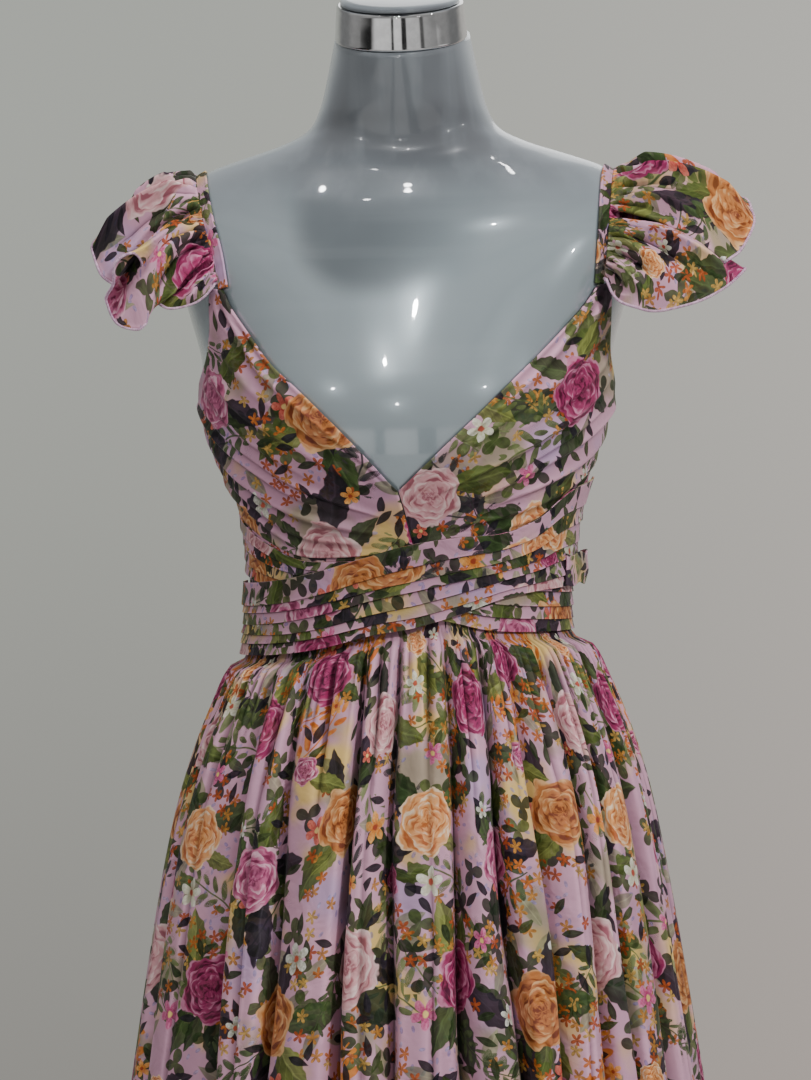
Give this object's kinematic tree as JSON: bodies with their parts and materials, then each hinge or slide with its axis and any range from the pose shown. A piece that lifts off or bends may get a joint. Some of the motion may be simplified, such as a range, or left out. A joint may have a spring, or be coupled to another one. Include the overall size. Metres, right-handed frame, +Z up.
{
  "type": "maxi dress on a limbless dress form",
  "caption": "Floor-length floral maxi dress with a draped V neck, flutter sleeves, crossing pleated waist bands and a gathered skirt, on a limbless dress form with a stand.",
  "frame": {"origin": "centre of the stand's round base, on the floor", "axes": "+Z up, the dress faces -Y, +X is the wearer's left"},
  "size_m": [0.6375, 0.6, 1.5647],
  "materials": {
    "cloth": "pale lilac pink chiffon with a soft sheen, printed with roses, leaves and small blossoms",
    "form": "glossy blue-grey",
    "chrome": "polished",
    "stand": "satin"
  },
  "bodies": {
    "root": {"front_bodice_right": "cloth", "front_bodice_left": "cloth", "back_bodice": "cloth", "front_midriff": "cloth", "wrap_band_under": "cloth", "wrap_band_upper": "cloth", "sash_tab": "cloth", "strap_right": "cloth", "strap_left": "cloth", "sleeve_right": "cloth", "sleeve_left": "cloth", "skirt_front": "cloth", "skirt_back": "cloth", "form_torso": "form", "form_neck_cap": "form", "form_neck_band": "chrome", "stand_pole": "stand", "stand_base": "stand"}
  },
  "joints": []
}
